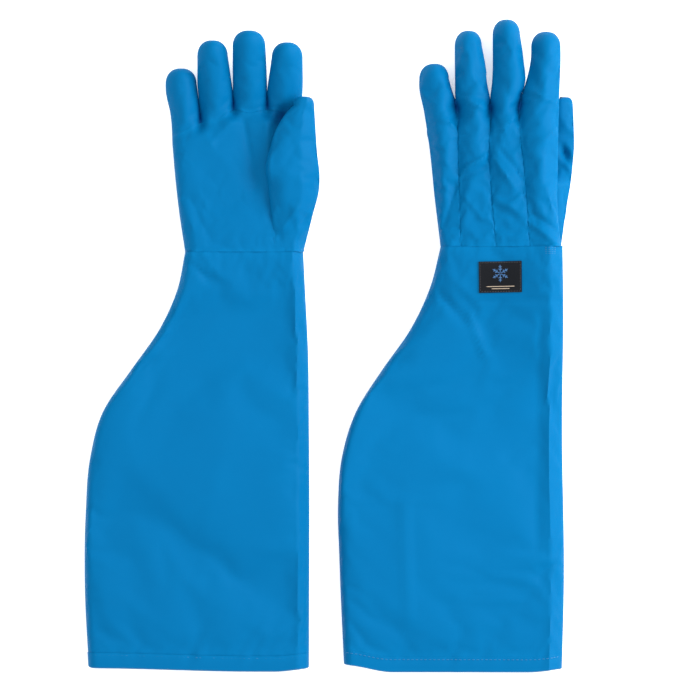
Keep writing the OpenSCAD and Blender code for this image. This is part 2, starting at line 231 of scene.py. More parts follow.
# A fold is a line from (x0, y0) to (x1, y1), its width, its height (negative for a valley), on the side that shows.
FOLDS = [
    [(-37, 128, -34, 72, 7, 3.0), (-60, 130, -47, 64, 11, -3.4), (-72, 128, -92, 108, 8, 1.4),
     (-100, 122, -88, 100, 8, 0.8), (-40, 40, -36, 20, 6, 0.9), (-20, 22, -6, 42, 4, 3.0),
     (-24, 14, -12, 30, 4, -1.8), (-6, 16, 2, 34, 5, -1.6), (-118, -6, -96, -26, 7, -3.2),
     (-100, -4, -84, -24, 8, 1.6), (-6, -4, 0, -34, 8, 1.6), (-150, -260, -60, -330, 30, -1.2),
     (-60, -120, -100, -280, 36, 1.2), (-175, -190, -120, -330, 30, 1.0)],
    [(-113, 125, -102, 117, 4, 3.0), (-92, 143, -76, 138, 4, 3.6), (-98, 152, -80, 148, 4, -2.4),
     (-101, 74, -75, 90, 4, 3.4), (-101, 66, -76, 79, 4, -2.4), (-69, 88, -48, 58, 4, 3.4),
     (-60, 94, -42, 70, 4, -3.0), (-60, 116, -45, 132, 4, 3.0), (-57, 130, -46, 142, 4, -2.2),
     (-52, 42, -42, 49, 4, 2.8), (-68, 48, -42, 32, 4, 2.4), (-68, 40, -44, 26, 4, -1.6),
     (-18, 104, -7, 116, 4, 3.0), (-34, 24, -8, 4, 4, 3.4), (-30, 33, -8, 16, 4, -2.6),
     (-16, 58, -6, 26, 4, 2.4), (-118, 20, -106, 60, 8, -2.8), (-98, 50, -80, 28, 5, 1.8),
     (-36, 156, -12, 144, 5, 2.0), (-70, -4, -58, -14, 6, -1.6), (-128, -40, -92, -78, 9, -3.6),
     (-110, -30, -84, -58, 9, 1.8), (-92, -70, -78, -106, 5, 3.0), (-156, -256, -152, -370, 7, 1.5),
     (-70, -110, -100, -220, 26, 1.6), (-22, -70, -24, -300, 12, -1.6)],
]
CRUMPLE = (0.9, 0.75)  # height of the loose crumpling on each hand
PUCKER_REACH = 5.5
# Where a hem's seam puckers most: x, and how deep.
HEM_PUCKERS = [[(-112, 1.8), (-105, -1.4), (-51, 1.4), (-58, -1.0)],
               [(-159, 1.2), (-139, 1.4), (-109, 2.6), (-101, -1.6), (-79, 1.3), (-18, 1.6)]]


def folds(g, x, y):
    total = np.zeros(np.broadcast(x, y).shape)
    for x0, y0, x1, y1, width, height in FOLDS[g]:
        run = np.array([x1 - x0, y1 - y0], float)
        t = ((x - x0) * run[0] + (y - y0) * run[1]) / (run @ run)
        d = np.hypot(x - x0 - np.clip(t, 0, 1) * run[0], y - y0 - np.clip(t, 0, 1) * run[1])
        total += height * np.exp(-(np.sqrt(d * d + 2.0) - math.sqrt(2.0)) / (0.62 * width))
    return total


def noise_at(x, y, z):
    """Smooth noise at each point of x, y and z, which are arrays or numbers."""
    x, y, z = np.broadcast_arrays(x, y, z)
    return np.array([noise.noise(Vector(p)) for p in zip(x.ravel(), y.ravel(), z.ravel())]).reshape(x.shape)


def crumple(x, y, scale, seed):
    """Soft facets between sharp creases: 0 at a crease, about 1 between creases."""
    large = abs(noise_at(x / scale, y / (1.35 * scale), seed))
    small = abs(noise_at(x / scale * 2.1, y / scale * 1.7, seed + 9))
    return (large + 0.45 * small) * 2.0


def puckers(distance, along, seed, height, pitch):
    """Short gathers square to a seam, which fade away from it."""
    return height * noise_at(along / pitch, seed, 0.3) * np.exp(-np.abs(distance) / PUCKER_REACH)


# ---- Mesh helpers ----

LABEL_AT, LABEL_SIZE, LABEL_TURN = (-61.8, -30.4), (42.0, 31.0), math.radians(1.0)
FLAKE_UP = 3.4  # how far the snowflake is above the label's middle
SETTLE_FRAMES = 16
PUFF = 0.6  # pressure inside the cloth
MOST_MOVED = 4.0
SHELL_SETTLING = {
    "quality": 5, "mass": 0.25, "tension_stiffness": 25, "compression_stiffness": 25, "shear_stiffness": 12,
    "bending_stiffness": 0.35, "pin_stiffness": 1.0, "use_pressure": True, "uniform_pressure_force": PUFF,
}
SHARP = math.radians(50)  # an edge of cloth turns more than this
panels = []


def cloth_coordinates(points):
    """Lengths along the cloth, in metres, for its weave: across each row from its middle, and up each column."""
    rows, cols = points.shape[:2]
    steps_across, steps_up = (np.linalg.norm(np.diff(points, axis=axis), axis=2) for axis in (1, 0))
    across = np.cumsum(np.concatenate([np.zeros((rows, 1)), steps_across], axis=1), axis=1)
    across -= across[:, cols // 2, None]
    up = np.cumsum(np.concatenate([np.zeros((1, cols)), steps_up], axis=0), axis=0)
    return across, up


def cloth(name, points, material, thickness, inward=None, loose=0.0, bind=None, fill=None,
          slot="shell_cloth", deep=None):
    """A piece of cloth from a grid of points. Its second side faces the point inward.

    loose is how much larger than its place the cloth is cut, which is what wrinkles it. bind is either one body,
    which it is attached to, or two bodies and the two ends of a stretch between them, and then it is attached to
    neither. deep is
    the painted shade: 1 in a deep fold, where the cloth is tinted darkest.
    """
    rows, cols = points.shape[:2]
    index = np.arange(rows * cols).reshape(rows, cols)
    quads = np.stack([index[:-1, :-1], index[:-1, 1:], index[1:, 1:], index[1:, :-1]], -1).reshape(-1, 4)
    mesh = bpy.data.meshes.new(name)
    mesh.from_pydata([tuple(p) for p in points.reshape(-1, 3)], [], [tuple(int(i) for i in q) for q in quads])
    across, up = cloth_coordinates(points)
    uv = np.stack([across.ravel(), up.ravel()], -1)
    layer = mesh.uv_layers.new(name="weave")
    layer.data.foreach_set("uv", uv[quads.reshape(-1)].ravel().astype(np.float32))
    r, c = np.arange(rows)[:, None], np.arange(cols)[None, :]
    # Paler towards each panel's edges: wear, which also serves as a painted highlight beside the seams.
    worn_and_lit = np.exp(-np.minimum(np.minimum(r, rows - 1 - r), np.minimum(c, cols - 1 - c)) / 1.6)
    mesh.attributes.new("wear_and_highlight", "FLOAT", "POINT").data.foreach_set("value", worn_and_lit.ravel().astype(np.float32))
    # deep holds the painted shade: how much darker the cloth is tinted in a deep fold.
    deep = np.zeros((rows, cols)) if deep is None else deep
    mesh.attributes.new("deep", "FLOAT", "POINT").data.foreach_set("value", deep.ravel().astype(np.float32))
    mesh.validate()
    piece = bpy.data.objects.new(name, mesh)
    bpy.context.scene.collection.objects.link(piece)
    normals = np.array([p.normal for p in mesh.polygons]).reshape(-1, 3)
    centres = np.array([p.center for p in mesh.polygons]).reshape(-1, 3)
    if inward is not None:
        outward = np.sum(normals * (centres - np.array(inward) * MM), axis=1).sum()
        if outward < 0:
            mesh.flip_normals()
    mesh.materials.append(material)
    panels.append((piece, (rows, cols), thickness, loose, bind, fill, slot))
    return piece


def wrinkle():
    """Let every loose panel settle at once: it is sewn down along its edges, a little too large, and puffed up."""
    scene = bpy.context.scene
    loose_panels = [(piece, size, loose) for piece, size, _, loose, *_ in panels if loose]
    before = {}
    for piece, (rows, cols), loose in loose_panels:
        sewn = piece.vertex_groups.new(name="sewn")
        edge = [r * cols + c for r in range(rows) for c in range(cols) if r in (0, rows - 1) or c in (0, cols - 1)]
        near = [r * cols + c for r in range(1, rows - 1) for c in range(1, cols - 1)
                if r in (1, rows - 2) or c in (1, cols - 2)]
        sewn.add(edge, 1.0, "REPLACE")
        sewn.add(near, 0.3, "REPLACE")
        if piece.name == "left_sleeve_back":
            x, y = (EDGE[1] + LABEL_AT[0]) * MM, (SEAM[1] + LABEL_AT[1]) * MM
            under = [v.index for v in piece.data.vertices if abs(v.co.x - x) < 0.025 and abs(v.co.y - y) < 0.0195]
            sewn.add(under, 1.0, "REPLACE")
        sim = piece.modifiers.new("settle", "CLOTH")
        for setting, value in SHELL_SETTLING.items():
            setattr(sim.settings, setting, value)
        sim.settings.shrink_min = sim.settings.shrink_max = -loose
        sim.settings.vertex_group_mass = "sewn"
        sim.settings.effector_weights.gravity = 0
        sim.collision_settings.use_collision = False
        sim.point_cache.frame_start, sim.point_cache.frame_end = 1, SETTLE_FRAMES
        before[piece.name] = np.array([v.co[:] for v in piece.data.vertices])
    for frame_number in range(1, SETTLE_FRAMES + 1):
        scene.frame_set(frame_number)
    graph = bpy.context.evaluated_depsgraph_get()
    settled = {}
    for piece, *_ in loose_panels:
        mesh = piece.evaluated_get(graph).to_mesh()
        settled[piece.name] = np.array([v.co[:] for v in mesh.vertices])
    for piece, *_ in loose_panels:
        piece.modifiers.clear()
        piece.vertex_groups.clear()
        move = settled[piece.name] - before[piece.name]
        far = np.linalg.norm(move, axis=1, keepdims=True)
        cap = MOST_MOVED * MM
        move *= cap * np.tanh(far / cap) / np.maximum(far, 1e-9)
        after = before[piece.name] + move
        floor = np.minimum(before[piece.name][:, 2], 0.4 * MM)
        after[:, 2] = np.maximum(after[:, 2], floor)
        piece.data.vertices.foreach_set("co", after.ravel())
        piece.data.update()
    scene.frame_set(1)


def finish_panels():
    for piece, _, thickness, _, bind, fill, slot in panels:
        solid = piece.modifiers.new("thickness", "SOLIDIFY")
        solid.thickness = thickness * MM
        solid.offset = -1
        apply_modifiers(piece)
        piece.data.shade_smooth()
        piece.data.set_sharp_from_angle(angle=SHARP)
        if isinstance(bind, str):
            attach(piece, bind)
        else:
            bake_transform(piece)


def apply_modifiers(piece):
    graph = bpy.context.evaluated_depsgraph_get()
    mesh = bpy.data.meshes.new_from_object(piece.evaluated_get(graph))
    piece.modifiers.clear()
    piece.data = mesh


def tube(name, paths, radius, material, sides=6):
    """Thread or piping: a round tube along each path."""
    verts, faces = [], []
    for path in paths:
        path = np.asarray(path, float)
        ahead = np.gradient(path, axis=0)
        ahead /= np.linalg.norm(ahead, axis=1)[:, None]
        side = np.cross(ahead, (0.3, 0.2, 1.0))
        side /= np.linalg.norm(side, axis=1)[:, None]
        up = np.cross(side, ahead)
        start = len(verts)
        for k, p in enumerate(path):
            r = radius * MM * (0.35 if k in (0, len(path) - 1) else 1)
            for s in range(sides):
                a = 2 * math.pi * s / sides
                verts.append(tuple(p + r * (math.cos(a) * side[k] + math.sin(a) * up[k])))
        for k in range(len(path) - 1):
            for s in range(sides):
                a, b = start + k * sides + s, start + k * sides + (s + 1) % sides
                faces.append((a, b, b + sides, a + sides))
        faces.append(tuple(start + s for s in reversed(range(sides))))
        faces.append(tuple(start + (len(path) - 1) * sides + s for s in range(sides)))
    mesh = bpy.data.meshes.new(name)
    mesh.from_pydata(verts, [], faces)
    mesh.materials.append(material)
    mesh.shade_smooth()
    piece = bpy.data.objects.new(name, mesh)
    bpy.context.scene.collection.objects.link(piece)
    return piece


def stitches(name, line, material, length=3.0, gap=1.4, radius=0.32, rise=0.3):
    """Thread that comes up and goes down along a line of points."""
    line = np.asarray(line, float)
    steps = np.r_[0, np.cumsum(np.linalg.norm(np.diff(line, axis=0), axis=1))] / MM
    paths = []
    for start in np.arange(1.0, steps[-1] - length, length + gap):
        at = start + np.linspace(0, length, 5)
        path = np.stack([np.interp(at, steps, line[:, k]) for k in range(3)], -1)
        path[:, 2] += np.array([-0.35, rise * 0.8, rise, rise * 0.8, -0.35]) * MM
        paths.append(path)
    return tube(name, paths, radius, material, sides=5)


# ---- Materials ----


def principled(name, color, **values):
    material = bpy.data.materials.new(name)
    material.use_nodes = True
    shader = material.node_tree.nodes["Principled BSDF"]
    shader.inputs["Base Color"].default_value = (*color, 1)
    for key, value in values.items():
        shader.inputs[key.replace("_", " ")].default_value = value
    return material, material.node_tree, shader


def yarn(name, color):
    """Sewing thread: uneven fibres, lighter and darker."""
    material, tree, shader = principled(name, color, Roughness=0.5, **{"Sheen_Weight": 0.2})
    place_in = tree.nodes.new("ShaderNodeTexCoord")
    fibres = tree.nodes.new("ShaderNodeTexNoise")
    fibres.inputs["Scale"].default_value = 2200
    fibres.inputs["Detail"].default_value = 2
    tree.links.new(place_in.outputs["Object"], fibres.inputs["Vector"])
    shade = tree.nodes.new("ShaderNodeMix")
    shade.data_type = "RGBA"
    shade.inputs["A"].default_value = (*(0.7 * c for c in color), 1)
    shade.inputs["B"].default_value = (*(1.3 * c for c in color), 1)
    tree.links.new(fibres.outputs["Fac"], shade.inputs["Factor"])
    tree.links.new(shade.outputs["Result"], shader.inputs["Base Color"])
    relief = tree.nodes.new("ShaderNodeBump")
    relief.inputs["Strength"].default_value = 0.4
    relief.inputs["Distance"].default_value = 0.08 * MM
    tree.links.new(fibres.outputs["Fac"], relief.inputs["Height"])
    tree.links.new(relief.outputs["Normal"], shader.inputs["Normal"])
    return material


def woven(name, color, pale, pitch, bump=0.05, mottling=0.12, **values):
    """Plain-woven cloth: threads over and under each other, uneven dye, and a fine bump."""
    material, tree, shader = principled(name, color, **values)
    nodes, links = tree.nodes, tree.links
    uv = nodes.new("ShaderNodeUVMap")
    uv.uv_map = "weave"
    split = nodes.new("ShaderNodeSeparateXYZ")
    links.new(uv.outputs[0], split.inputs[0])

    def math_node(kind, a, b=None):
        node = nodes.new("ShaderNodeMath")
        node.operation = kind
        for socket, value in zip(node.inputs, (a, b)):
            if value is None:
                continue
            if isinstance(value, (int, float)):
                socket.default_value = value
            else:
                links.new(value, socket)
        return node.outputs[0]

    turns = 2 * math.pi / (pitch * MM)
    warp, weft = (math_node("SINE", math_node("MULTIPLY", split.outputs[k], turns)) for k in (0, 1))
    weave = math_node("MULTIPLY", warp, weft)
    place_in = nodes.new("ShaderNodeTexCoord")
    broad = nodes.new("ShaderNodeTexNoise")
    broad.inputs["Scale"].default_value = 22
    broad.inputs["Detail"].default_value = 4
    links.new(place_in.outputs["Object"], broad.inputs["Vector"])
    slub = nodes.new("ShaderNodeTexNoise")
    slub.inputs["Scale"].default_value = 900
    slub.inputs["Detail"].default_value = 2
    links.new(place_in.outputs["Object"], slub.inputs["Vector"])
    dye = nodes.new("ShaderNodeMix")
    dye.data_type = "RGBA"
    dye.inputs["A"].default_value = (*color, 1)
    dye.inputs["B"].default_value = (*pale, 1)
    amount = math_node("ADD", math_node("MULTIPLY", broad.outputs["Fac"], mottling * 2),
                       math_node("MULTIPLY", weave, mottling * 0.35))
    amount = math_node("ADD", amount, math_node("MULTIPLY", slub.outputs["Fac"], mottling * 0.5))
    # Paler near the panel edges: wear, and also a painted highlight beside the seams.
    wear_and_highlight = nodes.new("ShaderNodeAttribute")
    wear_and_highlight.attribute_name = "wear_and_highlight"
    rubbed_and_lit = math_node("MULTIPLY", wear_and_highlight.outputs["Fac"], math_node("MULTIPLY", slub.outputs["Fac"], 0.9))
    amount = math_node("ADD", amount, rubbed_and_lit)
    links.new(amount, dye.inputs["Factor"])
    # The cloth deep in a fold is tinted darker, which stands for the shade there.
    fold = nodes.new("ShaderNodeAttribute")
    fold.attribute_name = "deep"
    painted_shade = nodes.new("ShaderNodeMix")
    painted_shade.data_type = "RGBA"
    painted_shade.inputs["B"].default_value = (color[0], 0.16 * color[1], 0.42 * color[2], 1)
    links.new(fold.outputs["Fac"], painted_shade.inputs["Factor"])
    links.new(dye.outputs["Result"], painted_shade.inputs["A"])
    links.new(painted_shade.outputs["Result"], shader.inputs["Base Color"])
    rough = math_node("ADD", math_node("MULTIPLY", slub.outputs["Fac"], 0.16), values["Roughness"] - 0.08)
    links.new(rough, shader.inputs["Roughness"])
    height = math_node("ADD", math_node("MULTIPLY", weave, 0.6), math_node("MULTIPLY", slub.outputs["Fac"], 0.5))
    relief = nodes.new("ShaderNodeBump")
    relief.inputs["Strength"].default_value = 0.5
    relief.inputs["Distance"].default_value = bump * MM
    links.new(height, relief.inputs["Height"])
    links.new(relief.outputs["Normal"], shader.inputs["Normal"])
    return material


shell_cloth = woven("shell_cloth", (0.0, 0.111, 0.28), (0.0, 0.134, 0.328), 0.5, bump=0.06, mottling=0.22,
                    Roughness=0.45, **{"Specular_IOR_Level": 0.03, "Sheen_Weight": 0.06, "Sheen_Roughness": 0.5,
                                       "Sheen_Tint": (0.0, 0.35, 0.8, 1)})
lining_cloth = woven("lining_cloth", (0.50, 0.54, 0.60), (0.66, 0.69, 0.73), 1.1, bump=0.3, mottling=0.3,
                     Roughness=0.85, **{"Sheen_Weight": 0.4})
label_cloth = woven("label_cloth", (0.005, 0.006, 0.008), (0.012, 0.013, 0.016), 0.4, bump=0.05, mottling=0.3,
                    Roughness=0.6, **{"Specular_IOR_Level": 0.05})
thread_blue = yarn("thread_blue", (0.0, 0.13, 0.33))
thread_ice = yarn("thread_ice", (0.02, 0.11, 0.28))
thread_cream = yarn("thread_cream", (0.42, 0.33, 0.24))
thread_dark = yarn("thread_dark", (0.03, 0.03, 0.04))

# ---- Sleeves ----

UNDERSIDE_ROUND, TOP_ROUND = 8.0, 9.0  # radius of a sleeve's edges
FACET_WIDTH = (10.5, 13.5)  # the flat strip down each sleeve's right edge, and the crest along it
CREST = (1.0, 2.2)
SAG, WAVES = 1.4, 2.2  # how far the middle sinks, and the height of the broad waves
HEM_LOW = (-417.2, -423.4)  # y of the lower edge's lowest stretch, and how much higher it is on the left
HEM_TILT = (3.4, 7.0)
HEM_TILT_WIDTH = (0.75, 0.22)
WRIST_ZONE = (-17, -1)  # the ends of a stretch across the wrist, given with the sleeve's two bodies


def hem_y(g, u):
    """The lower edge isn't quite square."""
    return HEM_LOW[g] + HEM_TILT[g] * (1 - ease(u / HEM_TILT_WIDTH[g])) + 2.5 * ease((u - 0.85) / 0.15)


def sleeve_section(g, x, y, side, x0, x1):
    """n of the sleeve: side 1 is the palm half and -1 the back half."""
    b = half_thickness(y)
    dl, dr = x - x0, x1 - x
    if side != TOP_OF[g]:
        return side * b * rounded(dl, UNDERSIDE_ROUND) * rounded(dr, UNDERSIDE_ROUND)
    facet = FACET_WIDTH[g]
    rise_r = np.clip(dr / facet, 0, 1) ** 0.72
    crest = CREST[g] * np.exp(-np.abs(dr - facet) / 9.0) * ease(dr / facet)
    sag = -SAG * ease(dl / 60) * ease((dr - facet) / 60)
    waves = noise_at(x / 95, y / 150, 3.0 + g) * WAVES
    soft = ease(dl / 25) * ease(dr / 25)
    return side * ((b * rounded(dl, TOP_ROUND) * rise_r) + crest + sag + (waves + folds(g, x, y)) * soft)


def hem_puckers(g, x, distance):
    n = 0 * x
    for at, depth in HEM_PUCKERS[g]:
        n = n - depth * np.exp(-(((x - at - 0.3 * distance) / 2.6) ** 2))
    return n * np.exp(-np.abs(distance) / 7.0)


def sleeve_grid(g, side, rows, cols, y_low, y_high, grow=0.0):
    u = spread(cols, 0.55)[None, :]
    v = np.linspace(0, 1, rows)[:, None]
    y = mix(y_low(u), y_high(u), v)
    x0, x1 = sleeve_left[g](y), sleeve_right[g](y)
    x = mix(x0, x1, u)
    n = sleeve_section(g, x, y, side, x0, x1)
    n = n + side * grow * np.clip(np.minimum(x - x0, x1 - x) / 3, 0, 1)
    above = y - hem_y(g, u) - HEM_LENGTH
    n = n + side * (puckers(above, x, 11.0 + g, 1.1, 9.0) + hem_puckers(g, x, above) * (side == TOP_OF[g]))
    n = n + side * puckers(y, x, 21.0 + g, 0.8, 8.0)
    return x, y + 0 * x, n


def sleeve(g):
    name = GLOVES[g]
    wrist = [tuple(np.array([EDGE[g] - 60, SEAM[g] + y, 15.0]) * MM) for y in WRIST_ZONE]
    across_wrist = (f"{name}_sleeve", f"{name}_hand", *wrist)
    inside = (EDGE[g] - 80, SEAM[g] - 200, float(middle(g, np.array(-80.0), np.array(-200.0))))
    for side, part in ((1, "front"), (-1, "back")):
        x, y, n = sleeve_grid(g, side, 116, 58, lambda u: hem_y(g, u) + HEM_LENGTH - 0.3, lambda u: 0 * u)
        panel = cloth(f"{name}_sleeve_{part}", place(g, x, y, n), shell_cloth, SLEEVE_T, inside, loose=0.008,
                      bind=across_wrist, fill=SLEEVE_FILL)
        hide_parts(f"{name}_sleeve_{part}_panel")
    halves = [sleeve_grid(g, side, 60, 44, lambda u: hem_y(g, u) + 3, lambda u: 0 * u) for side in (1, -1)]
    ring = [np.concatenate([a, b[:, ::-1]], axis=1) for a, b in zip(*halves)]
    # The lining lies against the hem at the mouth, and well clear of the loose cloth further in.
    at_mouth = ease(1 - (ring[1] - hem_y(g, 0.5) - 8) / 40)
    rx, rn = mix(ring[0], -60.0, 0.045), ring[2] * mix(0.3, 0.62, at_mouth)
    lining = cloth(f"{name}_sleeve_lining_tube", place(g, rx, ring[1], rn), lining_cloth, LINING_T, inside,
                   bind=across_wrist, fill=SLEEVE_FILL, slot="lining")
    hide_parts(f"{name}_sleeve_lining", f"{name}_sleeve_insulation")
    hem(g)


def hem(g):
    """The hem is one band of cloth that turns in over the edge: outside, round the mouth, and up the inside."""
    name = GLOVES[g]

    def seam_y(u):
        return hem_y(g, u) + HEM_LENGTH

    halves = [sleeve_grid(g, side, 8, 58, lambda u: hem_y(g, u), seam_y, 0.45) for side in (1, -1)]
    x, y, n = (np.concatenate([a, b[:, ::-1]], axis=1) for a, b in zip(*halves))
    inner_x, inner_n = mix(x, -105.0, 0.03), n * 0.66
    xs = np.concatenate([x[::-1], x[:1] * 0.985 - 1.6, inner_x], axis=0)
    ys = np.concatenate([y[::-1], y[:1] - 1.0, y], axis=0)
    ns = np.concatenate([n[::-1], n[:1] * 0.84, inner_n], axis=0)
    band = cloth(f"{name}_hem", place(g, xs, ys, ns), shell_cloth, HEM_T, bind=f"{name}_sleeve", fill=SLEEVE_FILL)
    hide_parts(f"{name}_sleeve_hem")
    x, y, n = sleeve_grid(g, TOP_OF[g], 2, 120, lambda u: seam_y(u) - 2.2, seam_y, 0.5)
    thread = stitches(f"{name}_hem_stitches", place(g, x, y, n)[0][3:-3], thread_blue)
    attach(thread, f"{name}_sleeve")


# ---- Hands and fingers ----

CROTCH_GAP = (0.8, 1.9)  # how far the cloth stands back where two fingers part
SHADE_LEFT, SHADE_RIGHT = (2.4, 3.8), (2.0, 3.4)  # width of the painted shade on each side of a finger
HOLLOW_DEPTH = (8.5, 0.0)
HOLLOW_SHADE = 0.085  # painted shade: darkening for each millimetre of the hollow's depth
STRIP_LOOSE = (0.012, 0.02)
PALM_LOOSE = (0.004, 0.01)


def bulge(t, power):
    """0 at both ends and 1 in the middle: higher powers are flatter on top."""
    return np.clip(np.sin(np.pi * t), 0, 1) ** (2 / power)


def crotch_y(g, k):
    return SEAMS[g][k][-1][1]


def base_ends(g, f):
    """x of both ends of a finger's base."""
    left = CREASE[g][0][0] if f == 0 else SEAMS[g][f - 1][-1][0]
    right = CREASE[g][-1][0] if f == 3 else SEAMS[g][f][-1][0]
    return left, right


def crotch_gap(g, k, y):
    """How far the cloth's rise stands back from a seam: it opens into a pocket at the crotch."""
    return CROTCH_GAP[g] * np.exp(-(((y - crotch_y(g, k) - 4) / 9.0) ** 2))


def painted_fold_shade(g, f, y, from_left, from_right):
    """How much painted shade the cloth beside a finger gets, up to 0.9: most at the crotch, and further up on the
    right side.
    """
    deep = 0 * (y + from_left)
    sides = ((f - 1, from_left, SHADE_LEFT[g], 9.0), (f, from_right, SHADE_RIGHT[g], 22.0))
    for k, distance, width, reach in sides:
        if 0 <= k < 3:
            above = y - crotch_y(g, k) - 4
            along = np.exp(-((above / np.where(above > 0, reach, 8.0)) ** 2))
            deep = np.maximum(deep, along * np.exp(-((distance / width) ** 2)))
    return 0.9 * deep


def strip_grid(g, f, cols=20):
    """Back strip of a finger, from the wrist seam to the fingertip."""
    shoulder = TIP_Y[g][f] - TIP_LENGTH
    body = np.linspace(0, shoulder, 74)[:, None]
    turn = np.linspace(0, math.pi / 2, 10)[1:, None]
    y = np.concatenate([body, shoulder + TIP_LENGTH * np.sin(turn)])
    shrink = np.concatenate([np.ones_like(body), np.cos(turn) ** 0.8 + 1e-3])
    lower = np.concatenate([np.ones_like(body), np.cos(turn) ** 0.9 + 1e-3])
    ys = np.minimum(y, shoulder)
    x0, x1 = finger_left[g][f](ys), finger_right[g][f](ys)
    across = spread(cols, 0.75)[None, :]
    centre, half = (x0 + x1) / 2, (x1 - x0) / 2 * shrink
    x = centre + half * (2 * across - 1)
    b = half_thickness(np.minimum(y, 135)) * mix(1.0, FINGER_B / KNUCKLE_B, ease((y - 120) / 40)) * lower
    valley = mix(2.0, 7.0, ease((y - 4) / (110 if g == 0 else 90)))

    def end_depth(k, silhouette):
        if silhouette:
            return np.zeros_like(y)
        return (b - valley) * (1 - ease((y - crotch_y(g, k) + 26) / 24))

    left = end_depth(f - 1, f == 0)
    right = end_depth(min(f, 2), f == 3)
    base = mix(left, right, ease(np.linspace(0, 1, cols)[None, :]))
    power = mix(mix(4.2, 2.3, ease(y / 70)), 2.6, ease((y - 130) / 30))
    low_x = centre - half + (crotch_gap(g, f - 1, y) if f > 0 else 0)
    high_x = centre + half - (crotch_gap(g, f, y) if f < 3 else 0)
    n = base + (b - base) * bulge(np.clip((x - low_x) / (high_x - low_x), 0, 1), power)
    seam_distance = np.minimum(x - (centre - half), (centre + half) - x)
    inside = ease(np.minimum(x - low_x, high_x - x) / 5)
    relief = CRUMPLE[g] * (crumple(x, y + 0 * x, 30.0, 2.0 + f) - 0.9) + (folds(g, x, y) if g == 1 else 0)
    n = n + inside * relief * lower + puckers(seam_distance, y + 0 * x, 31 + f, 0.9, 8.0) * ease(seam_distance / 2)
    # The fourth part is the painted shade in the folds beside the finger.
    return x, y + 0 * x, -n, painted_fold_shade(g, f, y, x - (centre - half), (centre + half) - x)


def base_depth(g, x):
    """n along the crease at the fingers' bases: it dips at each crotch."""
    n = np.full(np.shape(x), 11.6)
    for k in range(3):
        cx = SEAMS[g][k][-1][0]
        n -= 8.0 * np.exp(-(((x - cx) / 5.0) ** 2))
    left, right = CREASE[g][0][0], CREASE[g][-1][0]
    n *= rounded(x - left, 12.0)
    n *= rounded(right - x, 12.0)
    return n


def hollow(g, x, y):
    """The deep fold between the right glove's index finger and its thumb."""
    return HOLLOW_DEPTH[g] * np.exp(-(((x + 21) / 8.5) ** 2) - ((y - 134) / 9.5) ** 2)


def front_grid(g, f, cols=20):
    """Palm side of a finger, from its base crease to the fingertip."""
    shoulder = TIP_Y[g][f] - TIP_LENGTH
    across = spread(cols, 0.75)[None, :]
    base_x = mix(*base_ends(g, f), across)
    base_y, base_n = crease[g](base_x), base_depth(g, base_x)
    v = np.linspace(0, 1, 34)[:, None]
    body_y = mix(base_y, shoulder, v)
    turn = np.linspace(0, math.pi / 2, 10)[1:, None]
    cap_y = (shoulder + TIP_LENGTH * np.sin(turn)) + 0 * across
    y = np.concatenate([body_y, cap_y])
    shrink = np.concatenate([np.ones_like(v), np.cos(turn) ** 0.8 + 1e-3])
    lower = np.concatenate([np.ones_like(v), np.cos(turn) ** 0.9 + 1e-3])
    ys = np.minimum(y, shoulder)
    x0, x1 = finger_left[g][f](ys), finger_right[g][f](ys)
    centre, half = (x0 + x1) / 2, (x1 - x0) / 2 * shrink
    x = centre + half * (2 * across - 1)
    b = FINGER_B * lower * mix(0.93, 1.0, ease((y - base_y - 8) / 12))
    n = b * bulge(across, 2.8)
    grown = ease((y - base_y) / 13.0)
    n = mix(base_n + 0 * n, n, grown)
    x = mix(base_x + 0 * x, x, ease((y - base_y) / 5.0))
    seam_distance = np.minimum(x - (centre - half), (centre + half) - x)
    inside = ease(seam_distance / 5) * grown
    n = n + inside * (CRUMPLE[g] * 0.8 * (crumple(x, y, 26.0, 12.0 + f) - 0.9)) * lower
    mark = (1 - 0.6 * across, ease(across), ease(across * 1.6), 0.6 + 0 * across)[f]
    n = n - 1.3 * mark * np.exp(-(((y - base_y - 3) / 2.5) ** 2)) * ease((y - base_y) / 1.5)
    # Painted shade: a darker tint in the folds beside the finger and in the hollow by the thumb.
    deep = np.maximum(painted_fold_shade(g, f, y, x - (centre - half), (centre + half) - x), hollow(g, x, y) * HOLLOW_SHADE)
    return x, y, n - hollow(g, x, y), deep


def palm_grid(g, rows=64, cols=80):
    across = spread(cols, 0.5)[None, :]
    v = np.linspace(0, 1, rows)[:, None]
    top_x = mix(CREASE[g][0][0], CREASE[g][-1][0], across)
    top_y = crease[g](top_x)
    y = v * top_y
    x0, x1 = hand_left[g](y), hand_right[g](y)
    x = mix(mix(x0, x1, across), top_x, ease((y - top_y + 12) / 12))
    b = half_thickness(np.minimum(y, 135))
    dl, dr = x - x0, x1 - x
    n = b * rounded(dl, 13.0) * rounded(dr, 13.0)
    n = mix(n, base_depth(g, x), ease((y - top_y + 16) / 16) ** 1.6)
    soft = ease(dl / 14) * ease(dr / 14) * ease((top_y - y) / 8)
    relief = 1.1 * CRUMPLE[g] * (crumple(x, y, 42.0, 5.0) - 0.9) + (folds(g, x, y) if g == 0 else 0)
    n = n + soft * relief * ease(y / 10) + puckers(y, x, 41 + g, 0.7, 9.0)
    # The fourth part is painted shade, darker where the hollow is deeper.
    return x, y, n - hollow(g, x, y), hollow(g, x, y) * HOLLOW_SHADE


def finger_zone(g, f):
    """The two ends of a stretch at a finger's base: from its crease, 20 mm towards its tip."""
    name = GLOVES[g]
    lift = JOINTS[f"{name}_{FINGERS[f]}_finger_bend"]["pos_m"][2]
    a, b = (np.array([x, float(crease[g](x))]) for x in base_ends(g, f))
    along = (b - a) / np.linalg.norm(b - a)
    ahead = np.array([-along[1], along[0]])
    start = (a + b) / 2 - ahead * 1.0
    end = start + ahead * 20
    return [(*(np.array([EDGE[g], SEAM[g]]) + p) * MM, lift) for p in (start, end)]


